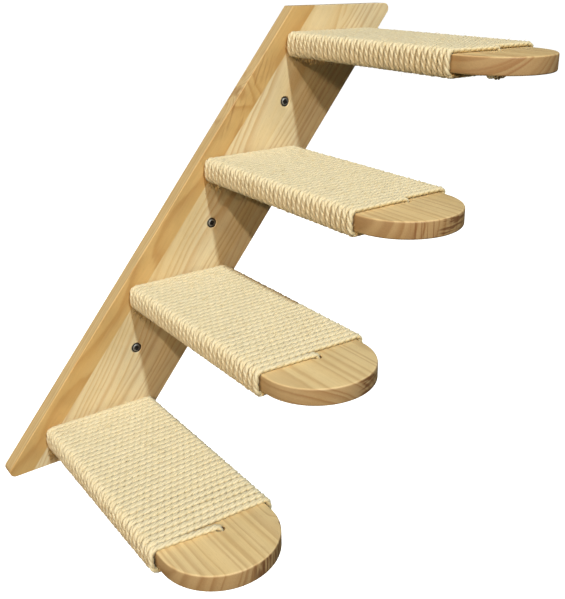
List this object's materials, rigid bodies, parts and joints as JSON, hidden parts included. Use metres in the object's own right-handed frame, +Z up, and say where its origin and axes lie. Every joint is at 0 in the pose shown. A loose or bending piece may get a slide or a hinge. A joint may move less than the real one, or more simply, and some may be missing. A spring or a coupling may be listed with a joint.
{
  "type": "wall mounted cat tree",
  "caption": "Leaning pine back board with level rope-wound treads, half-round at their outer ends, that form a wall stair for cats.",
  "frame": {"origin": "axis of the middle wall screw, where it leaves the back board's rear face", "axes": "+X to the right along the wall, +Y into the wall along the wall screws, +Z up"},
  "size_m": [0.5622, 0.395, 0.5],
  "materials": {
    "board_pine": "planed and oiled pine, matt",
    "tread_pine": "planed and oiled pine, matt",
    "sisal_rope": "undyed sisal rope, hairy",
    "zinc_steel": "zinc plated",
    "black_steel": "black phosphated"
  },
  "bodies": {
    "root": {"backboard_stave_1": "board_pine", "backboard_stave_2": "board_pine", "backboard_stave_3": "board_pine", "backboard_stave_4": "board_pine", "tread_1_board": "tread_pine", "tread_1_rope": "sisal_rope", "tread_1_knot": "sisal_rope", "tread_1_screws": "zinc_steel", "tread_2_board": "tread_pine", "tread_2_rope": "sisal_rope", "tread_2_knot": "sisal_rope", "tread_2_screws": "zinc_steel", "tread_3_board": "tread_pine", "tread_3_rope": "sisal_rope", "tread_3_knot": "sisal_rope", "tread_3_screws": "zinc_steel", "tread_4_board": "tread_pine", "tread_4_rope": "sisal_rope", "tread_4_knot": "sisal_rope", "tread_4_screws": "zinc_steel", "wall_screws": "black_steel"}
  },
  "joints": []
}
